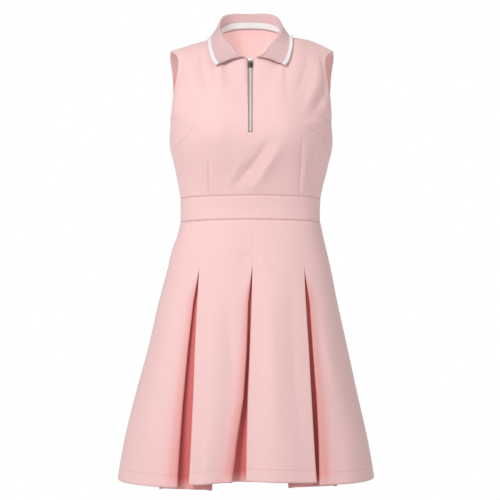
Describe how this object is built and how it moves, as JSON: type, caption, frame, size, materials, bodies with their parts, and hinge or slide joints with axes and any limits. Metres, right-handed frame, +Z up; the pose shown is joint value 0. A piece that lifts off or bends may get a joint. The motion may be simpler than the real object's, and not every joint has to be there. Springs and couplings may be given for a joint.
{
  "type": "polo dress",
  "caption": "Sleeveless polo dress, filled out as worn, with knitted collar, short front zip, waistband and flared skirt with inverted box pleats.",
  "frame": {"origin": "between the wearer's two shoulders, inside the neck, where the wearer holds the dress up", "axes": "+Z up, the front faces -Y, and the wearer's left side is +X"},
  "size_m": [0.5118, 0.3815, 0.9406],
  "materials": {
    "pink_cloth": "matt",
    "pink_knit": "rib knit",
    "white_tape": "matt",
    "zip_cloth": "matt",
    "zip_silver": "satin",
    "pull_grey": "satin"
  },
  "bodies": {
    "dress": {"front_bodice": "pink_cloth", "back_bodice": "pink_cloth", "waistband_front": "pink_cloth", "waistband_back": "pink_cloth", "skirt_front": "pink_cloth", "skirt_back": "pink_cloth", "collar": "pink_knit", "neck_tape": "white_tape", "zip_tape": "zip_cloth", "zip_chain": "zip_silver", "zip_slider": "zip_silver"},
    "pull_tab": {"zip_pull": "pull_grey"}
  },
  "joints": [
    {"name": "pull_tab_hinge", "type": "hinge", "parent": "dress", "child": "pull_tab", "pos_m": [0, -0.07331, -0.03759], "axis": [-1, 0, 0], "range_deg": [0, 165]}
  ]
}
